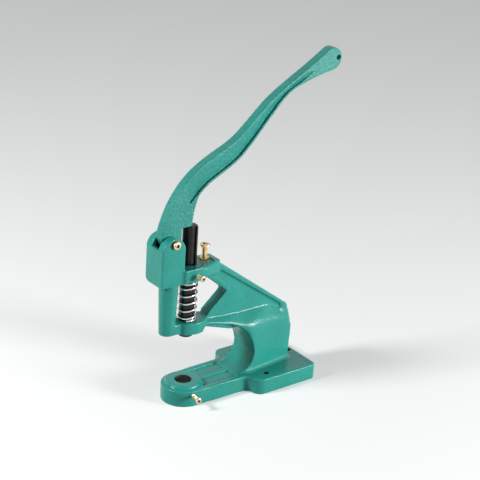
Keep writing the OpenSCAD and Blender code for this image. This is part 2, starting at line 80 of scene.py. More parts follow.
# What the frame's record gives, in millimetres. The pivot and the tip's hole are (y, z), and
# CLAMP points out of the tongue along the clamp screw.
DIE_R = MOUNTS["die_bore"]["dims"]["r_mm"]
BOSS_TOP = MOUNTS["die_bore"]["dims"]["length_mm"]
BASE_T = MOUNTS["base_rear_hole"]["dims"]["length_mm"]
MOUNT_R = MOUNTS["base_rear_hole"]["dims"]["r_mm"]
REAR_HOLE_Y = mm(MOUNTS["base_rear_hole"]["pos_m"][1])
SIDE_HOLE_X = MOUNTS["base_side_bolts"]["dims"]["spacing_x_mm"] / 2
SIDE_HOLE_Y = mm(MOUNTS["base_side_bolts"]["pos_m"][1])
TIP_HOLE_R = MOUNTS["lever_tip_hole"]["dims"]["r_mm"]
TIP_HOLE = [mm(v) for v in MOUNTS["lever_tip_hole"]["pos_m"][1:]]
LEVER_HALF = mm(MOUNTS["lever_tip_hole"]["pos_m"][0])
PUNCH_R = MOUNTS["punch_bore"]["dims"]["r_mm"]
PUNCH_DEPTH = MOUNTS["punch_bore"]["dims"]["length_mm"]
PLUNGER_LOW = mm(MOUNTS["punch_bore"]["pos_m"][2])
PIVOT = [mm(v) for v in JOINTS["lever_pivot"]["pos_m"][1:]]
CLAMP = -Vector(JOINTS["die_clamp"]["axis"])

# The rest of the castings' sizes, in millimetres.
LOWER_BOSS_LOW, LOWER_BOSS_TOP = 69, 80.5
ARM_LOW, ARM_TOP = 122.5, 135.5
ARM_HALF = 14.5
HEAD_HALF = 13
HEAD_FRONT = -38
FRONT_WALL = 4.5
EAR_REAR = -13.2
SLOT_HALF = 4.9
FLUTE_RIM = 2.3
FLUTE_DRAWN = 1.6
STOP_Y = 17
GUIDE_Z = 128.4
CLAMP_Z = 11.5

# Round stock and screws, in millimetres.
PLUNGER_R = 7
PLUNGER_TOP = 172.7
PIN_R = 3.25
STOP_R = 2.5
SET_R = 1.5
FIT = 0.05
GAP = 0.03
RING_LOW = 120.9
CAP_LOW = 119.87
SET_SCREW = {"head_radius": 2.9, "head_height": 2, "radius": SET_R, "pitch": 0.5}

# A plug reaches this far into the metal round its bore, in millimetres.
PLUG = 0.45
# How far a rounded casting stays inside its node's box, in metres.
HAIR = 2e-6
MOST_TRIANGLES = 190000


# ---------------------------------------------------------------- properties


class HandPressSizes(bpy.types.PropertyGroup):
    """Sizes of the details that are added round the frame"""

    frame_grain: FloatProperty(
        name="Frame grain",
        description="Size of the cells from which the frame casting is rounded",
        default=0.00072, min=0.0004, max=0.002, unit="LENGTH", precision=5,
    )
    frame_rounding: IntProperty(
        name="Frame rounding",
        description="How many times the frame casting's edges are softened",
        default=9, min=0, max=40,
    )
    lever_grain: FloatProperty(
        name="Lever grain",
        description="Size of the cells from which the lever is rounded",
        default=0.0005, min=0.0003, max=0.002, unit="LENGTH", precision=5,
    )
    lever_rounding: IntProperty(
        name="Lever rounding",
        description="How many times the lever's edges are softened",
        default=9, min=0, max=40,
    )
    flute: FloatProperty(
        name="Flute depth",
        description="Depth of the lever's flutes at their lower rim",
        default=0.0026, min=0.001, max=0.003, unit="LENGTH", precision=5,
    )
    wire: FloatProperty(
        name="Spring wire", description="Diameter of the spring's wire",
        default=0.0018, min=0.001, max=0.002, unit="LENGTH", precision=5,
    )
    coil: FloatProperty(
        name="Spring radius", description="Radius of the spring at the middle of its wire",
        default=0.00845, min=0.008, max=0.0088, unit="LENGTH", precision=5,
    )


class HandPressColours(bpy.types.PropertyGroup):
    """Colours of the finishes"""

    enamel: FloatVectorProperty(
        name="Enamel", description="Green enamel on the castings",
        subtype="COLOR", default=(0.022, 0.35, 0.29), min=0, max=1,
    )
    # Deep enamel also gives, at half strength, the painted shade in the castings' hollows
    enamel_deep: FloatVectorProperty(
        name="Deep enamel", description="Enamel where it lies thick",
        subtype="COLOR", default=(0.012, 0.265, 0.218), min=0, max=1,
    )
    plating: FloatVectorProperty(
        name="Plating", description="Yellow plating on the screws",
        subtype="COLOR", default=(0.78, 0.60, 0.34), min=0, max=1,
    )
    blacking: FloatVectorProperty(
        name="Blacking", description="Blackened steel of the plunger",
        subtype="COLOR", default=(0.028, 0.025, 0.024), min=0, max=1,
    )
    nickel: FloatVectorProperty(
        name="Nickel", description="Bright plating on the spring",
        subtype="COLOR", default=(0.80, 0.80, 0.81), min=0, max=1,
    )
    floor: FloatVectorProperty(
        name="Floor", description="Plain floor under the press",
        subtype="COLOR", default=(0.80, 0.80, 0.80), min=0, max=1,
    )


# ---------------------------------------------------------------- finishes


class Finish:
    """A material under construction, with short names for its nodes"""

    def __init__(self, name):
        self.material = bpy.data.materials.new(name)
        self.material.use_nodes = True
        self.tree = self.material.node_tree
        self.tree.nodes.clear()
        self.shader = self.tree.nodes.new("ShaderNodeBsdfPrincipled")
        out = self.tree.nodes.new("ShaderNodeOutputMaterial")
        self.link(self.shader.outputs[0], out.inputs[0])
        self.place = self.tree.nodes.new("ShaderNodeTexCoord").outputs["Object"]

    def link(self, a, b):
        """Joins an output to an input"""
        self.tree.links.new(a, b)

    def set(self, **values):
        """Sets the shader's inputs, with underscores for the spaces in their names"""
        for name, value in values.items():
            self.shader.inputs[name.replace("_", " ")].default_value = value

    def node(self, kind, **values):
        """A new node with its inputs and settings"""
        made = self.tree.nodes.new(kind)
        for name, value in values.items():
            if name in made.inputs:
                made.inputs[name].default_value = value
            else:
                setattr(made, name, value)
        return made

    def stretched(self, scale):
        """The piece's own coordinates, scaled along each axis"""
        mapping = self.node("ShaderNodeMapping", Scale=scale)
        self.link(self.place, mapping.inputs["Vector"])
        return mapping.outputs[0]

    def noise(self, scale, detail=2.0, rough=0.5, where=None):
        """Soft noise, in features per metre"""
        made = self.node("ShaderNodeTexNoise", Scale=scale, Detail=detail, Roughness=rough)
        self.link(where or self.place, made.inputs["Vector"])
        return made.outputs["Fac"]

    def cells(self, scale):
        """Distance to scattered points, in points per metre"""
        made = self.node("ShaderNodeTexVoronoi", Scale=scale)
        self.link(self.place, made.inputs["Vector"])
        return made.outputs["Distance"]

    def spread(self, value, low, high, to_low=0.0, to_high=1.0):
        """Maps one range of values onto another"""
        made = self.node("ShaderNodeMapRange")
        ends = {"From Min": low, "From Max": high, "To Min": to_low, "To Max": to_high}
        for name, number in ends.items():
            made.inputs[name].default_value = number
        self.link(value, made.inputs["Value"])
        return made.outputs[0]

    def sums(self, operation, a, b):
        """Two values put together, where each is a number or an output"""
        made = self.node("ShaderNodeMath", operation=operation)
        for socket, value in zip(made.inputs, (a, b)):
            if isinstance(value, (int, float)):
                socket.default_value = value
            else:
                self.link(value, socket)
        return made.outputs[0]

    def mix(self, factor, a, b):
        """Two colours mixed, where each is a colour or an output"""
        made = self.node("ShaderNodeMix", data_type="RGBA")
        self.link(factor, made.inputs[0])
        for socket, value in ((made.inputs[6], a), (made.inputs[7], b)):
            if hasattr(value, "links"):
                self.link(value, socket)
            else:
                socket.default_value = (*value, 1)
        return made.outputs[2]

    def bump(self, height, distance, under=None):
        """A surface raised by a height, over another bump where there is one"""
        made = self.node("ShaderNodeBump", Distance=distance, Strength=1.0)
        self.link(height, made.inputs["Height"])
        if under is not None:
            self.link(under, made.inputs["Normal"])
        return made.outputs[0]


def shade(colour, factor):
    """A colour made lighter or darker"""
    return tuple(factor * c for c in colour)


def enamel_finish(name, light, deep, grain, waves, gloss, speckle):
    """Glossy green enamel over a sand-cast skin: grain, slow waves, a painted highlight on convex edges and
    painted shade in the hollows
    """
    f = Finish(name)
    f.set(IOR=1.5, Specular_IOR_Level=0.1, Coat_Weight=1.0, Coat_IOR=1.3, Coat_Roughness=gloss)
    pointiness = f.node("ShaderNodeNewGeometry").outputs["Pointiness"]
    # Hollows (low pointiness) are mixed towards half the deep green: painted shade in creases and corners
    painted_hollow_shade = f.spread(pointiness, 0.44, 0.5, to_low=1.0, to_high=0.0)
    # Convex edges (high pointiness) are mixed towards a paler green: a painted highlight along the edges
    edge = f.spread(pointiness, 0.52, 0.6)
    clouds = f.spread(f.noise(45, detail=3), 0.35, 0.65)
    specks = f.spread(f.noise(620, detail=3, rough=0.7), 0.42, 0.62)
    pale = tuple(min(1.0, 1.35 * c + 0.02) for c in light)
    colour = f.mix(f.sums("MULTIPLY", clouds, 0.5), light, deep)
    colour = f.mix(f.sums("MULTIPLY", specks, speckle), colour, shade(deep, 0.45))
    colour = f.mix(f.sums("MULTIPLY", painted_hollow_shade, 0.55), colour, shade(deep, 0.5))
    colour = f.mix(f.sums("MULTIPLY", edge, 0.5), colour, pale)
    f.link(colour, f.shader.inputs["Base Color"])
    rough = f.spread(f.noise(160, detail=4, rough=0.6), 0.3, 0.7, to_low=0.38, to_high=0.5)
    f.link(rough, f.shader.inputs["Roughness"])
    sand = f.sums("ADD", f.noise(900, detail=3, rough=0.6), f.sums("MULTIPLY", f.cells(620), 0.5))
    skin = f.bump(f.noise(110), waves, under=f.bump(sand, grain))
    for socket in ("Normal", "Coat Normal"):
        f.link(skin, f.shader.inputs[socket])
    return f.material


def steel_finish(name, colour, roughness, streaks, depth, metal=1.0):
    """Steel that was turned or drawn: fine lines along one direction"""
    f = Finish(name)
    f.set(Metallic=metal)
    lines = f.noise(1.0, detail=3, rough=0.6, where=f.stretched(streaks))
    worn = f.spread(f.noise(130, detail=3), 0.35, 0.65)
    dulled = f.mix(f.sums("MULTIPLY", worn, 0.7), colour, shade(colour, 0.72))
    f.link(dulled, f.shader.inputs["Base Color"])
    rough = f.spread(lines, 0.25, 0.75, to_low=roughness * 0.75, to_high=roughness * 1.3)
    f.link(rough, f.shader.inputs["Roughness"])
    f.link(f.bump(lines, depth), f.shader.inputs["Normal"])
    return f.material


def plated_finish(name, colour):
    """Yellow plating on small screws, with drifts of red and green in it"""
    f = Finish(name)
    f.set(Metallic=1.0)
    drift = f.spread(f.noise(260), 0.35, 0.65)
    red, green, blue = colour
    warm = (red, green * 0.80, blue * 0.72)
    cool = (red * 0.93, green * 1.12, blue * 1.25)
    f.link(f.mix(drift, warm, cool), f.shader.inputs["Base Color"])
    rough = f.spread(f.noise(700, detail=3), 0.3, 0.7, to_low=0.2, to_high=0.34)
    f.link(rough, f.shader.inputs["Roughness"])
    f.link(f.bump(f.noise(1500), 0.00002), f.shader.inputs["Normal"])
    return f.material


def seen_rays(tree):
    """One for the rays that show the background, directly or in metal, and zero for the rest"""
    path = tree.nodes.new("ShaderNodeLightPath")
    rays = path.outputs["Is Camera Ray"]
    for other in ("Is Glossy Ray", "Is Transmission Ray"):
        either = tree.nodes.new("ShaderNodeMath")
        either.operation = "MAXIMUM"
        tree.links.new(rays, either.inputs[0])
        tree.links.new(path.outputs[other], either.inputs[1])
        rays = either.outputs[0]
    return rays


FINISHES = {}
ACROSS = (60, 60, 9000)
LENGTHWISE = (9000, 9000, 60)
EVEN = (1500, 1500, 1500)


def finishes():
    """The press's finishes by name, made once"""
    if not FINISHES:
        c = bpy.context.scene.hand_press_colours
        FINISHES.update(
            frame=enamel_finish(
                "frame_enamel", c.enamel, c.enamel_deep,
                grain=0.00012, waves=0.0004, gloss=0.17, speckle=0.18,
            ),
            lever=enamel_finish(
                "lever_enamel", c.enamel, c.enamel_deep,
                grain=0.00035, waves=0.0004, gloss=0.29, speckle=0.5,
            ),
            machined=steel_finish(
                "machined_iron", (0.20, 0.21, 0.20),
                roughness=0.4, streaks=ACROSS, depth=0.00002,
            ),
            # Near-black iron: bare oiled iron in the fork's slot, darkened as painted shade there and in the
            # screws' cross recesses
            slot=steel_finish(
                "oiled_iron_painted_shade", (0.025, 0.024, 0.023),
                roughness=0.5, streaks=ACROSS, depth=0.00002, metal=0.3,
            ),
            black=steel_finish(
                "black_oxide", c.blacking,
                roughness=0.3, streaks=LENGTHWISE, depth=0.000015, metal=0.75,
            ),
            nickel=steel_finish(
                "bright_nickel", c.nickel,
                roughness=0.16, streaks=EVEN, depth=0.000006,
            ),
            plated=plated_finish("yellow_zinc", c.plating),
        )
    return FINISHES


# ---------------------------------------------------------------- shaping


def put(name, bm, body, finish, nodes, crease=38):
    """Turns a bmesh drawn in millimetres into a piece that rides on a body"""
    obj = loose(bm)
    obj.name = obj.data.name = name
    settle(obj, body, finish, nodes, crease)
    return obj


def settle(obj, body, finish, nodes, crease):
    """Shades a piece, gives it its finish, hangs it on the body it rides on and hides the nodes it stands for"""
    if not obj.data.materials:
        obj.data.materials.append(finish)
        # Faces with another index, the screws' cross recesses, get the near-black iron as painted shade
        if any(p.material_index for p in obj.data.polygons):
            obj.data.materials.append(finishes()["slot"])
    obj.data.polygons.foreach_set("use_smooth", [True] * len(obj.data.polygons))
    obj.data.set_sharp_from_angle(angle=math.radians(crease))
    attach(obj, body)
    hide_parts(*nodes)


def apply_modifiers(obj):
    """Leaves a piece with the mesh that its modifiers make"""
    view = bpy.context.evaluated_depsgraph_get()
    done = bpy.data.meshes.new_from_object(obj.evaluated_get(view))
    obj.modifiers.clear()
    old, obj.data = obj.data, done
    bpy.data.meshes.remove(old)


def along(direction):
    """Rotation that lays the Z axis along a direction"""
    return Z.rotation_difference(direction).to_matrix().to_4x4()


def rod(bm, start, end, radius, segments=64):
    """Adds a closed round rod between two points"""
    start, end = Vector(start), Vector(end)
    bmesh.ops.create_cone(
        bm, cap_ends=True, segments=segments, radius1=radius, radius2=radius,
        depth=(end - start).length,
        matrix=Matrix.Translation((start + end) / 2) @ along(end - start),
    )


def drawn_rod(start, end, radius, segments=64):
    """A closed round rod on its own"""
    bm = bmesh.new()
    rod(bm, start, end, radius, segments)
    return bm


def block(bm, low, high):
    """Adds a closed block between two corners"""
    low, high = Vector(low), Vector(high)
    size = high - low
    made = bmesh.ops.create_cube(
        bm, size=1, matrix=Matrix.Translation((low + high) / 2) @ Matrix.Diagonal((*size, 1)),
    )
    return made["verts"]


def about_z(bm, geom, angle, steps, climb=0, merge=False):
    """Spins geometry about Z, climbing a little at each step"""
    return bmesh.ops.spin(
        bm, geom=geom, cent=(0, 0, 0), axis=Z, dvec=(0, 0, climb), angle=angle, steps=steps,
        use_merge=merge, use_normal_flip=False, use_duplicate=False,
    )


def cleaned(bm):
    """Merges a bmesh's doubles and points its faces outwards"""
    bmesh.ops.remove_doubles(bm, verts=bm.verts, dist=1e-4)
    bmesh.ops.recalc_face_normals(bm, faces=bm.faces)
    return bm


def turned(profile, steps=64):
    """A solid of revolution about Z from (radius, height) points that start and end on the axis"""
    bm = bmesh.new()
    verts = [bm.verts.new((r, 0, z)) for r, z in profile]
    for pair in zip(verts, verts[1:]):
        bm.edges.new(pair)
    about_z(bm, bm.verts[:] + bm.edges[:], math.tau, steps, merge=True)
    return cleaned(bm)


def spun_ring(inner, outer, low, high, steps, angle=math.tau):
    """A ring about Z of square section, with capped ends where it isn't full"""
    bm = bmesh.new()
    corners = ((inner, low), (outer, low), (outer, high), (inner, high))
    face = bm.faces.new([bm.verts.new((r, 0, z)) for r, z in corners])
    full = angle == math.tau
    geom = face.verts[:] + face.edges[:]
    if full:
        bmesh.ops.delete(bm, geom=[face], context="FACES_ONLY")
    else:
        geom.append(face)
    about_z(bm, geom, angle, steps, merge=full)
    return cleaned(bm)


def loose(bm):
    """Puts a bmesh in millimetres into an object in metres"""
    mesh = bpy.data.meshes.new("blank")
    bm.to_mesh(mesh)
    bm.free()
    mesh.transform(Matrix.Scale(MM, 4))
    obj = bpy.data.objects.new("blank", mesh)
    bpy.context.scene.collection.objects.link(obj)
    return obj


def taken(obj):
    """Takes a cut blank back as a bmesh in millimetres"""
    bm = bmesh.new()
    bm.from_mesh(obj.data)
    bmesh.ops.scale(bm, vec=(1 / MM,) * 3, verts=bm.verts)
    bpy.data.objects.remove(obj)
    return bm


def cut(obj, cutter, operation="DIFFERENCE"):
    """Cuts a piece, in metres, with a bmesh drawn in millimetres"""
    bmesh.ops.recalc_face_normals(cutter, faces=cutter.faces)
    tool = loose(cutter)
    boolean = obj.modifiers.new("cut", "BOOLEAN")
    boolean.operation = operation
    boolean.object = tool
    boolean.solver = "EXACT"
    apply_modifiers(obj)
    mesh = tool.data
    bpy.data.objects.remove(tool)
    bpy.data.meshes.remove(mesh)


def softened(bm, width):
    """Bevels the sharp edges of a bmesh"""
    sharp = math.radians(30)
    edges = [e for e in bm.edges if e.is_manifold and e.calc_face_angle(0) > sharp]
    bmesh.ops.bevel(
        bm, geom=edges, offset=width, offset_type="OFFSET", segments=2, profile=0.5,
        affect="EDGES", clamp_overlap=True, material=-1,
    )
    return bm


def joined(parts, matrix=None):
    """Joins bmeshes into one, and moves them together"""
    whole = bmesh.new()
    for part in parts:
        mesh = bpy.data.meshes.new("part")
        part.to_mesh(mesh)
        part.free()
        whole.from_mesh(mesh)
        bpy.data.meshes.remove(mesh)
    if matrix is not None:
        bmesh.ops.transform(whole, matrix=matrix, verts=whole.verts)
    return whole


def swung(bm, degrees, axis, verts):
    """Turns some vertices about an axis through the origin"""
    turn = Matrix.Rotation(math.radians(degrees), 3, axis)
    bmesh.ops.rotate(bm, cent=(0, 0, 0), matrix=turn, verts=verts)


# ---------------------------------------------------------------- castings


def hole(point, direction, radius, reach, *solids):
    """A drill between two distances along its axis, and plugs that fill its bore in the metal"""
    point = Vector(point)
    drill = (point + reach[0] * direction, point + reach[1] * direction, radius)
    plugs = [
        (point + low * direction, point + high * direction, radius + PLUG) for low, high in solids
    ]
    return drill, plugs


def cast_piece(name, node, finish, holes, grain, rounding, shaping):
    """A casting: the node's shape with its bores stopped, rounded, shaped and bored again"""
    bm = bmesh.new()
    bm.from_mesh(frame["nodes"][node].data)
    bmesh.ops.remove_doubles(bm, verts=bm.verts, dist=1e-6)
    bmesh.ops.scale(bm, vec=(1 / MM,) * 3, verts=bm.verts)
    for _, plugs in holes:
        for start, end, radius in plugs:
            rod(bm, start, end, radius)
    obj = loose(bm)
    obj.name = name
    cells = obj.modifiers.new("cells", "REMESH")
    cells.mode = "VOXEL"
    cells.voxel_size = grain
    cells.use_smooth_shade = True
    soft = obj.modifiers.new("soft", "SMOOTH")
    soft.factor = 0.5
    soft.iterations = rounding
    apply_modifiers(obj)
    shaping(obj)
    bore(obj, [drill for drill, _ in holes])
    thin(obj)
    obj.data.name = name
    obj.data.materials.clear()
    obj.data.materials.append(finish)
    keep_inside(obj.data, frame["nodes"][node])
    return obj


def bore(obj, drills):
    """Drills a casting from above, then from the sides, as one cutter must not cross itself"""
    for upright in (True, False):
        cutter = bmesh.new()
        for start, end, radius in drills:
            if (start.z != end.z) == upright:
                rod(cutter, start, end, radius, segments=96)
        if cutter.verts:
            cut(obj, cutter)


def thin(obj):
    """Takes triangles off a casting that has too many"""
    count = sum(len(p.vertices) - 2 for p in obj.data.polygons)
    if count > MOST_TRIANGLES:
        fewer = obj.modifiers.new("thin", "DECIMATE")
        fewer.ratio = MOST_TRIANGLES / count
        apply_modifiers(obj)


def keep_inside(mesh, node):
    """Keeps a rounded casting a hair inside the box of the node that it stands for"""
    corners = [node.matrix_world @ Vector(corner) for corner in node.bound_box]
    low = [min(c[i] for c in corners) + HAIR for i in range(3)]
    high = [max(c[i] for c in corners) - HAIR for i in range(3)]
    for vert in mesh.vertices:
        vert.co = [min(max(vert.co[i], low[i]), high[i]) for i in range(3)]


def smooth_region(obj, side, low, high, margin, passes):
    """Smooths both sides of a casting between two (y, z) corners, less towards the border"""
    group = obj.vertex_groups.new(name="region")
    for vert in obj.data.vertices:
        x, y, z = vert.co / MM
        inside = min(y - low[0], high[0] - y, z - low[1], high[1] - z, abs(x) - side)
        if inside > 0:
            group.add([vert.index], min(1, inside / margin), "REPLACE")
    soft = obj.modifiers.new("region", "SMOOTH")
    soft.factor = 0.5
    soft.iterations = passes
    soft.vertex_group = "region"
    apply_modifiers(obj)
    obj.vertex_groups.clear()


def mark_bore(mesh, start, end, radius):
    """Gives a bore's wall the second finish"""
    near = 0.06
    axis = (end - start).normalized()
    length = (end - start).length

    def on_wall(point):
        reach = point.dot(axis)
        return abs((point - axis * reach).length - radius) <= near and 0 < reach < length

    for face in mesh.polygons:
        if all(on_wall(mesh.vertices[i].co / MM - start) for i in face.vertices):
            face.material_index = 1


def mark_slot(mesh):
    """Gives the faces of the fork's slot the third finish: bare oiled iron, made near black as painted shade
    inside the slot
    """
    half = SLOT_HALF + 0.3
    front, rear = HEAD_FRONT + FRONT_WALL - 0.2, EAR_REAR + 0.4
    floor = ARM_TOP + 1
    for face in mesh.polygons:
        x, y, z = face.center / MM
        if abs(x) < half and front < y < rear and z > floor and face.material_index == 0:
            face.material_index = 2


def outline_tree(points):
    """A search tree of outline points, seen from the side"""
    tree = KDTree(len(points))
    for i, p in enumerate(points):
        tree.insert((0, p.y, p.z), i)
    tree.balance()
    return tree


def slant_flutes(obj, deep):
    """Slopes the lever's flutes, from deep at the lower rim to flush at the upper one"""
    lowest, highest = 188, 300
    rim_width = 1.7
    sideways, middle = 0.35, 2 * MM
    lower, upper = [], []
    for vert in obj.data.vertices:
        if abs(vert.normal.x) < sideways and abs(vert.co.x) < middle:
            faces_down = vert.normal.y * 0.5 - vert.normal.z * 0.85 > 0
            (lower if faces_down else upper).append(vert.co.copy())
    trees = outline_tree(lower), outline_tree(upper)
    for vert in obj.data.vertices:
        sunk = LEVER_HALF - abs(vert.co.x) / MM
        if not (0.02 < sunk < FLUTE_DRAWN + 0.5 and lowest * MM < vert.co.z < highest * MM):
            continue
        below, above = (tree.find((0, vert.co.y, vert.co.z))[2] / MM for tree in trees)
        if min(below, above) < rim_width:
            continue
        part = (above - FLUTE_RIM) / max(below + above - 2 * FLUTE_RIM, 0.1)
        depth = deep * min(max(part, 0.02), 1)
        vert.co.x = math.copysign((LEVER_HALF - sunk * depth / FLUTE_DRAWN) * MM, vert.co.x)


# ---------------------------------------------------------------- screws


def thread(radius, pitch, low, high):
    """A screw thread along Z between two heights, closed at both ends"""
    steps = 20
    spare = 1.5
    turns = math.ceil((high - low) / pitch) + int(2 * spare)
    root = radius - 0.6 * pitch
    outline = ((root, 0), (radius, 0.38), (radius, 0.5), (root, 0.88), (root, 1))
    bm = bmesh.new()
    verts = [bm.verts.new((r, 0, low + (h - spare) * pitch)) for r, h in outline]
    edges = [bm.edges.new(pair) for pair in zip(verts, verts[1:])]
    about_z(bm, verts + edges, math.tau * turns, steps * turns, climb=pitch / steps)
    bmesh.ops.remove_doubles(bm, verts=bm.verts, dist=1e-3)
    for height, side in ((low, -1), (high, 1)):
        bmesh.ops.bisect_plane(
            bm, geom=bm.verts[:] + bm.edges[:] + bm.faces[:], dist=1e-4,
            plane_co=(0, 0, height), plane_no=(0, 0, side), clear_outer=True, clear_inner=False,
        )
        rim = [
            e for e in bm.edges
            if e.is_boundary and all(abs(v.co.z - height) < 1e-3 for v in e.verts)
        ]
        bmesh.ops.triangle_fill(bm, edges=rim, use_beauty=True)
    bmesh.ops.recalc_face_normals(bm, faces=bm.faces)
    return bm


def pan_head(radius, height):
    """A pan head above z = 0 with a cross recess"""
    edge = 0.15
    crown = 0.45 * height
    side = height - crown
    reach, half, floor = 0.62 * radius, 0.19 * radius, 0.3 * height
    profile = [(0, 0), (radius - edge, 0), (radius, edge), (radius, side)]
    for degrees in range(15, 91, 15):
        a = math.radians(degrees)
        profile.append((radius * (0.6 + 0.4 * math.cos(a)), side + crown * math.sin(a)))
    profile.append((0, height))
    blank = loose(turned(profile, steps=48))
    for degrees in (0, 90):
        slot = bmesh.new()
        verts = block(slot, (-reach, -half, floor), (reach, half, height + 0.5))
        bmesh.ops.scale(slot, vec=(0.3, 1, 1), verts=[v for v in verts if v.co.z < height * 0.5])
        swung(slot, degrees, "Z", verts)
        cut(blank, slot)
    head = taken(blank)
    # The cross recess's faces get the second finish, near-black iron: painted shade in the recess
    for face in head.faces:
        c = face.calc_center_median()
        recessed = c.z < height * 0.8 or abs(face.normal.z) < 0.5
        if c.z > 0.1 and c.to_2d().length < reach and recessed:
            face.material_index = 1
    return head


def pan_screw(head_radius, head_height, radius, pitch, length, point=0.5):
    """A pan-head screw: the head above z = 0, the thread below"""
    shoulder = point - length
    tip = turned([
        (0, -length), (radius - point, -length), (radius - 0.02, shoulder), (0, shoulder),
    ], steps=40)
    return joined([pan_head(head_radius, head_height), thread(radius, pitch, shoulder, 0.05), tip])


def placed(point, direction, turn=0):
    """Matrix that sets a screw drawn along Z at a point, with its head towards a direction"""
    about_itself = Matrix.Rotation(math.radians(turn), 4, "Z")
    return Matrix.Translation(point) @ along(Vector(direction)) @ about_itself


# ---------------------------------------------------------------- operators


class HANDPRESS_OT_frame(bpy.types.Operator):
    """Round the frame casting, enamel it and bore it"""

    bl_idname = "hand_press.frame"
    bl_label = "Frame casting"

    def execute(self, context):
        s = context.scene.hand_press_sizes
        f = finishes()
        holes = self.holes()
        obj = cast_piece(
            "cast_frame", "frame_casting", f["frame"], holes,
            grain=s.frame_grain, rounding=s.frame_rounding, shaping=self.smooth,
        )
        for extra in ("machined", "slot"):
            obj.data.materials.append(f[extra])
        for drill, _ in holes:
            mark_bore(obj.data, *drill)
        mark_slot(obj.data)
        settle(obj, "frame", f["frame"], ("frame_casting",), crease=50)
        return {"FINISHED"}

    def holes(self):
        """The frame's bores: for the die, the base's bolts, the plunger, the pin and the screws"""
        guide_r = PLUNGER_R + FIT
        base_holes = (
            (-SIDE_HOLE_X, SIDE_HOLE_Y, 0), (SIDE_HOLE_X, SIDE_HOLE_Y, 0), (0, REAR_HOLE_Y, 0),
        )
        return [
            hole((0, 0, 0), Z, DIE_R, (-2, 20), (0, BOSS_TOP)),
            *(hole(place, Z, MOUNT_R, (-2, 18), (0, BASE_T)) for place in base_holes),
            hole((0, 0, 0), Z, guide_r, (120, 138), (ARM_LOW, ARM_TOP)),
            hole((0, 0, 0), Z, guide_r, (67, 82), (LOWER_BOSS_LOW, LOWER_BOSS_TOP)),
            hole(
                (0, *PIVOT), X, PIN_R + FIT, (-16, 16),
                (SLOT_HALF, HEAD_HALF), (-HEAD_HALF, -SLOT_HALF),
            ),
            hole((0, STOP_Y, 0), Z, STOP_R + FIT, (112, 138), (ARM_LOW - 0.2, ARM_TOP)),
            hole((0, 0, GUIDE_Z), X, SET_R + FIT, (5.5, 18), (PLUNGER_R, ARM_HALF - 0.2)),
            hole((0, 0, CLAMP_Z), CLAMP, SET_R + FIT, (6, 23), (DIE_R + 1, 20.2)),
        ]

    def smooth(self, obj):
        """Blends the column's flank, and the arm's shoulder where it runs into the rib"""
        smooth_region(obj, 6.4, (14, 50), (119, 77), margin=4, passes=200)
        smooth_region(obj, 8, (4, 108), (30, 142), margin=5, passes=160)


class HANDPRESS_OT_lever(bpy.types.Operator):
    """Round the lever, enamel it and bore it"""

    bl_idname = "hand_press.lever"
    bl_label = "Lever"

    def execute(self, context):
        s = context.scene.hand_press_sizes
        f = finishes()
        metal = (-LEVER_HALF, LEVER_HALF)
        holes = [
            hole((0, *PIVOT), X, PIN_R + 0.06, (-6, 6), metal),
            hole((0, *TIP_HOLE), X, TIP_HOLE_R, (-6, 6), metal),
        ]
        obj = cast_piece(
            "cast_lever", "lever", f["lever"], holes,
            grain=s.lever_grain, rounding=s.lever_rounding,
            shaping=lambda blank: slant_flutes(blank, s.flute / MM),
        )
        settle(obj, "lever", f["lever"], ("lever",), crease=50)
        return {"FINISHED"}


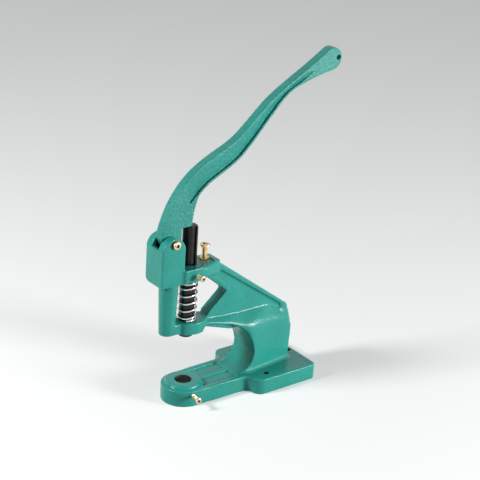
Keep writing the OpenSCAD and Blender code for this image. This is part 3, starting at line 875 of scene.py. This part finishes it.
class HANDPRESS_OT_plunger(bpy.types.Operator):
    """Turn the plunger and mill its keyway, with its ring, washer and grub screw"""

    bl_idname = "hand_press.plunger"
    bl_label = "Plunger"

    grub_z = 67
    groove_r = 6.4

    def execute(self, context):
        f = finishes()
        put(
            "plunger_bar", self.bar(), "plunger", f["black"],
            ("plunger",), crease=30,
        )
        ring_angle, ring_r, ring_thick = 325, 8.6, 1.1
        low = RING_LOW + GAP
        ring = softened(spun_ring(
            self.groove_r + FIT, ring_r, low, low + ring_thick, 60, math.radians(ring_angle),
        ), 0.12)
        swung(ring, 360 - ring_angle / 2, "Z", ring.verts)
        put("snap_ring", ring, "plunger", f["black"], ("retaining_ring",))
        cap_inner, cap_outer = PLUNGER_R + 0.2, 9.6
        cap = softened(spun_ring(cap_inner, cap_outer, CAP_LOW, RING_LOW - GAP, 64), 0.15)
        put("spring_cap", cap, "plunger", f["nickel"], ("spring_washer",))
        put("grub_screw", self.grub(), "plunger", f["black"], ("punch_grub_screw",))
        return {"FINISHED"}

    def bar(self):
        """The plunger's bar with its groove, round top, keyway and holes"""
        bevel, rounding = 0.7, 2.4
        groove_top = RING_LOW + 1.2
        profile = [
            (0, PLUNGER_LOW), (PLUNGER_R - bevel, PLUNGER_LOW), (PLUNGER_R, PLUNGER_LOW + bevel),
            (PLUNGER_R, RING_LOW), (self.groove_r, RING_LOW),
            (self.groove_r, groove_top), (PLUNGER_R, groove_top),
        ]
        for step in range(5):
            a = math.radians(22.5 * step)
            inward, below = rounding * (1 - math.cos(a)), rounding * (1 - math.sin(a))
            profile.append((PLUNGER_R - inward, PLUNGER_TOP - below))
        profile.append((0, PLUNGER_TOP))
        blank = loose(turned(profile, steps=96))
        key_half, key_floor, key_low = 2.3, 5, 124.7
        past_side, past_top = PLUNGER_R + 2, 176
        keyway = bmesh.new()
        block(keyway, (key_floor, -key_half, key_low), (past_side, key_half, past_top))
        for cutter in (
            drawn_rod((0, 0, 60), (0, 0, PLUNGER_LOW + PUNCH_DEPTH), PUNCH_R),
            keyway,
            drawn_rod((key_floor, 0, key_low), (past_side, 0, key_low), key_half, segments=32),
            drawn_rod((-past_side, 0, self.grub_z), (-2, 0, self.grub_z), SET_R + FIT, segments=32),
        ):
            cut(blank, cutter)
        return taken(blank)

    def grub(self):
        """The grub screw that grips the upper die, with a hexagonal socket in its outer end"""
        outer, inner = -6.8, -4.2
        edge = 0.2
        blank = loose(turned([
            (0, outer), (SET_R - edge, outer), (SET_R, outer + edge),
            (SET_R, inner - edge), (0, inner),
        ], steps=32))
        socket = bmesh.new()
        bmesh.ops.create_cone(
            socket, cap_ends=True, segments=6, radius1=0.8, radius2=0.8, depth=2.4,
            matrix=Matrix.Translation((0, 0, outer)),
        )
        cut(blank, socket)
        lay = Matrix.Rotation(math.radians(90), 4, "Y")
        return joined([taken(blank)], Matrix.Translation((0, 0, self.grub_z)) @ lay)


class HANDPRESS_OT_spring(bpy.types.Operator):
    """Wind the return spring with its two closed ends"""

    bl_idname = "hand_press.spring"
    bl_label = "Return spring"

    def execute(self, context):
        s = context.scene.hand_press_sizes
        wire, coil = s.wire / MM / 2, s.coil / MM
        low, high = LOWER_BOSS_TOP + GAP + wire, CAP_LOW - GAP - wire
        steps, closed, turns = 32, 1, 4.5
        rise = 2.3
        pitch = (high - low - 2 * closed * rise) / turns
        bm = bmesh.new()
        made = bmesh.ops.create_circle(bm, cap_ends=True, segments=14, radius=wire)
        swung(bm, 90, "X", made["verts"])
        bmesh.ops.translate(bm, vec=(coil, 0, low), verts=made["verts"])
        swung(bm, -35, "Z", made["verts"])
        last = bm.verts[:] + bm.edges[:] + bm.faces[:]
        for count, climb in ((closed, rise), (turns, pitch), (closed, rise)):
            spun = about_z(bm, last, math.tau * count, round(steps * count), climb=climb / steps)
            last = spun["geom_last"]
        spring = put(
            "coil_spring", cleaned(bm), "frame", finishes()["nickel"],
            ("return_spring",), crease=60,
        )
        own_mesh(spring)
        return {"FINISHED"}


class HANDPRESS_OT_pivot(bpy.types.Operator):
    """Make the pivot pin with its two washers and screws"""

    bl_idname = "hand_press.pivot"
    bl_label = "Pivot"

    def execute(self, context):
        f = finishes()
        y, z = PIVOT
        end = HEAD_HALF - 0.15
        pin = softened(turned([(0, -end), (PIN_R, -end), (PIN_R, end), (0, end)]), 0.3)
        put(
            "hinge_pin", joined([pin], placed((0, y, z), X)), "frame", f["black"],
            ("pivot_pin",),
        )
        screw_r, washer_r, thick = 2, 4.4, 0.8
        washer_x = HEAD_HALF + GAP
        screw_x = washer_x + thick + GAP
        for side, place, turn in ((1, "near", 20), (-1, "far", 55)):
            washer = softened(spun_ring(screw_r + 0.2, washer_r, 0, thick, 48), 0.12)
            put(
                "washer_" + place, joined([washer], placed((washer_x * side, y, z), side * X)),
                "frame", f["black"], ("pivot_washer_" + place,),
            )
            screw = pan_screw(
                head_radius=3.9, head_height=2.5, radius=screw_r, pitch=0.7, length=8,
            )
            put(
                "pin_screw_" + place,
                joined([screw], placed((screw_x * side, y, z), side * X, turn)),
                "frame", f["plated"], ("pivot_screw_" + place,),
            )
        return {"FINISHED"}


class HANDPRESS_OT_stop(bpy.types.Operator):
    """Make the stop bolt with its lock nut"""

    bl_idname = "hand_press.stop"
    bl_label = "Stop bolt"

    def execute(self, context):
        f = finishes()
        head_z = 148.8
        bolt = pan_screw(
            head_radius=4.8, head_height=1.9, radius=STOP_R, pitch=0.8, length=24, point=0.7,
        )
        bolt = joined([bolt], placed((0, STOP_Y, head_z), Z, turn=30))
        put("stop_screw", bolt, "stop_bolt", f["plated"], ("stop_bolt",))
        nut = joined([self.nut()], placed((0, STOP_Y, ARM_TOP + GAP), Z, turn=-9))
        put("lock_nut", nut, "frame", f["plated"], ("stop_lock_nut",), crease=25)
        return {"FINISHED"}

    def nut(self):
        """A hexagonal nut with its corners turned off at both faces"""
        across_flats, thick = 8, 2.2
        corner = across_flats / math.sqrt(3)
        blank = bmesh.new()
        turn = Matrix.Rotation(math.radians(30), 4, "Z")
        bmesh.ops.create_cone(
            blank, cap_ends=True, segments=6, radius1=corner, radius2=corner, depth=thick,
            matrix=Matrix.Translation((0, 0, thick / 2)) @ turn,
        )
        blank = loose(blank)
        face_r, wide, past, slope = 3.9, corner + 0.02, 0.01, 0.42
        turning = turned([
            (0, -past), (face_r, -past), (wide, slope), (wide, thick - slope),
            (face_r, thick + past), (0, thick + past),
        ], steps=96)
        cut(blank, turning, "INTERSECT")
        cut(blank, drawn_rod((0, 0, -1), (0, 0, 4), STOP_R + FIT, segments=48))
        return softened(taken(blank), 0.12)


class HANDPRESS_OT_side_screws(bpy.types.Operator):
    """Make the guide screw in the arm and the clamp screw in the tongue"""

    bl_idname = "hand_press.side_screws"
    bl_label = "Guide and clamp screws"

    def execute(self, context):
        f = finishes()
        guide_head, guide_length = 21.3, 15.9
        place = placed((guide_head, 0, GUIDE_Z), X, turn=10)
        guide = joined([pan_screw(**SET_SCREW, length=guide_length)], place)
        put("guide_key_screw", guide, "frame", f["plated"], ("guide_screw",))
        clamp_head, clamp_length = 30.5, 21.5
        place = placed(clamp_head * CLAMP + CLAMP_Z * Z, CLAMP, turn=25)
        clamp = joined([pan_screw(**SET_SCREW, length=clamp_length)], place)
        put(
            "clamp_screw", clamp, "die_clamp_screw", f["plated"],
            ("die_clamp_screw",),
        )
        return {"FINISHED"}


class HANDPRESS_OT_studio(bpy.types.Operator):
    """Lay the floor, hang the lamps and set the camera"""

    bl_idname = "hand_press.studio"
    bl_label = "Studio"

    def execute(self, context):
        scene = context.scene
        scene.view_settings.view_transform = "Standard"
        self.floor(scene)
        self.world(scene)
        self.lamp(scene, "side_lamp", (1.14, 0.80, 0.30), aim=(0, 0.05, 0.12), size=0.4, power=20)
        self.lamp(scene, "front_lamp", (-0.24, -1.10, 0.80), aim=(0, 0, 0.12), size=0.3, power=15)
        self.camera(scene)
        return {"FINISHED"}

    def floor(self, scene):
        """A wide floor: dull to the light it throws back, with a little glow where it is seen"""
        dull, glow = (0.3, 0.3, 0.3), 0.32
        bm = bmesh.new()
        bmesh.ops.create_grid(bm, x_segments=1, y_segments=1, size=6)
        mesh = bpy.data.meshes.new("studio_floor")
        bm.to_mesh(mesh)
        bm.free()
        obj = bpy.data.objects.new("studio_floor", mesh)
        scene.collection.objects.link(obj)
        f = Finish("floor_paint")
        f.set(Roughness=0.9, Specular_IOR_Level=0.1, Emission_Color=(1, 1, 1, 1))
        colour = f.mix(seen_rays(f.tree), dull, tuple(scene.hand_press_colours.floor))
        f.link(colour, f.shader.inputs["Base Color"])
        f.link(f.sums("MULTIPLY", seen_rays(f.tree), glow), f.shader.inputs["Emission Strength"])
        mesh.materials.append(f.material)

    def world(self, scene):
        """Faint cool air that lights the press, and a pale backdrop that is only seen"""
        world = bpy.data.worlds.new("studio_air")
        scene.world = world
        world.use_nodes = True
        tree = world.node_tree
        tree.nodes.clear()
        out = tree.nodes.new("ShaderNodeOutputWorld")
        mix = tree.nodes.new("ShaderNodeMixShader")
        tree.links.new(seen_rays(tree), mix.inputs[0])
        for socket, colour, strength in (
            (mix.inputs[1], (0.85, 0.90, 0.92, 1), 0.14),
            (mix.inputs[2], (0.86, 0.86, 0.86, 1), 1.0),
        ):
            light = tree.nodes.new("ShaderNodeBackground")
            light.inputs["Color"].default_value = colour
            light.inputs["Strength"].default_value = strength
            tree.links.new(light.outputs[0], socket)
        tree.links.new(mix.outputs[0], out.inputs[0])

    def lamp(self, scene, name, place, aim, size, power):
        """A round lamp that looks at a point"""
        data = bpy.data.lights.new(name, "AREA")
        data.shape, data.size, data.energy = "DISK", size, power
        obj = bpy.data.objects.new(name, data)
        scene.collection.objects.link(obj)
        obj.location = place
        obj.rotation_euler = (Vector(aim) - Vector(place)).to_track_quat("-Z", "Y").to_euler()

    def camera(self, scene):
        """The camera that saw the press, by its place, its three angles and its lens"""
        place = (1.0532, -0.7904, 0.7308)
        turn, tilt, roll = (math.radians(a) for a in (51.19, 23.42, 3.66))
        back = Vector((
            math.sin(turn) * math.cos(tilt), -math.cos(turn) * math.cos(tilt), math.sin(tilt),
        ))
        right = Vector((math.cos(turn), math.sin(turn), 0))
        up = back.cross(right)
        right, up = (
            right * math.cos(roll) + up * math.sin(roll),
            up * math.cos(roll) - right * math.sin(roll),
        )
        data = bpy.data.cameras.new("photo_camera")
        data.sensor_width = 36
        data.lens = 121.75
        data.clip_start, data.clip_end = 0.05, 30
        obj = bpy.data.objects.new("photo_camera", data)
        scene.collection.objects.link(obj)
        axes = Matrix((right, up, back)).transposed().to_4x4()
        obj.matrix_world = Matrix.Translation(place) @ axes
        scene.camera = obj


class HANDPRESS_PT_panel(bpy.types.Panel):
    """Builds the hand press piece by piece"""

    bl_label = "Eyelet Hand Press"
    bl_idname = "HANDPRESS_PT_panel"
    bl_space_type = "VIEW_3D"
    bl_region_type = "UI"
    bl_category = "Hand Press"

    def draw(self, context):
        column = self.layout.column()
        for group in (context.scene.hand_press_sizes, context.scene.hand_press_colours):
            for name in group.bl_rna.properties.keys():
                if name not in ("rna_type", "name"):
                    column.prop(group, name)
            column.separator()
        for operator in OPERATORS:
            column.operator(operator.bl_idname)


OPERATORS = (
    HANDPRESS_OT_studio,
    HANDPRESS_OT_frame,
    HANDPRESS_OT_lever,
    HANDPRESS_OT_plunger,
    HANDPRESS_OT_spring,
    HANDPRESS_OT_pivot,
    HANDPRESS_OT_stop,
    HANDPRESS_OT_side_screws,
)
CLASSES = (HandPressSizes, HandPressColours, *OPERATORS, HANDPRESS_PT_panel)


def register():
    """Adds the classes and the scene's two groups of settings"""
    for c in CLASSES:
        bpy.utils.register_class(c)
    bpy.types.Scene.hand_press_sizes = PointerProperty(type=HandPressSizes)
    bpy.types.Scene.hand_press_colours = PointerProperty(type=HandPressColours)


def unregister():
    """Takes the settings and the classes away again"""
    del bpy.types.Scene.hand_press_colours
    del bpy.types.Scene.hand_press_sizes
    for c in reversed(CLASSES):
        bpy.utils.unregister_class(c)


def main():
    """Registers the add-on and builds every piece"""
    register()
    for operator in OPERATORS:
        group, name = operator.bl_idname.split(".")
        getattr(getattr(bpy.ops, group), name)()


if __name__ == "__main__":
    main()
